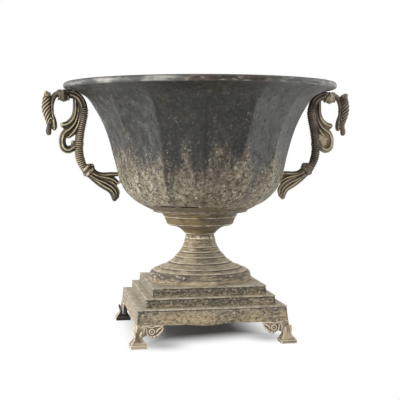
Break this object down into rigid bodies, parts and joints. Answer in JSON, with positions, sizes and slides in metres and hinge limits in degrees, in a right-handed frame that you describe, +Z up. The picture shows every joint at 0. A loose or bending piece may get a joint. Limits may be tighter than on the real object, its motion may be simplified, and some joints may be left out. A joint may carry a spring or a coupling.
{
  "type": "metal urn",
  "caption": "Free-standing metal urn planter: flared bowl of flat panels with a rolled rim, cast scrolled handles, turned stem and stepped square plinth on cast feet.",
  "frame": {"origin": "on the ground under the bowl's axis, at the middle of the four feet", "axes": "+X along the two handles to the right, +Y away from the viewer, +Z up the bowl's axis"},
  "size_m": [0.4342, 0.376, 0.3442],
  "materials": {
    "bowl_sheet": "dark grey paint worn to dusty khaki towards the bottom",
    "stem_sheet": "khaki limewash worn to dark metal on edges",
    "plinth_sheet": "mottled grey and beige paint, pale worn edges",
    "handle_casting": "dark bronze paint with rubbed gold relief",
    "foot_casting": "rubbed pale gold over brown",
    "solder": "dull painted solder",
    "fastener_steel": "tarnished steel"
  },
  "bodies": {
    "root": {"bowl_shell": "bowl_sheet", "rim_wire": "fastener_steel", "handle_left": "handle_casting", "handle_right": "handle_casting", "handle_rim_screws": "fastener_steel", "handle_tail_screws": "fastener_steel", "handle_tail_washers": "fastener_steel", "seam_tacks": "solder", "stem_cup": "stem_sheet", "neck_collar": "stem_sheet", "stem_trumpet": "stem_sheet", "step_top": "plinth_sheet", "step_middle": "plinth_sheet", "step_base": "plinth_sheet", "foot_front_left": "foot_casting", "foot_front_right": "foot_casting", "foot_back_left": "foot_casting", "foot_back_right": "foot_casting", "tie_rod": "fastener_steel", "bowl_nut": "fastener_steel", "bowl_washer": "fastener_steel", "base_nut": "fastener_steel", "base_washer": "fastener_steel"}
  },
  "joints": []
}
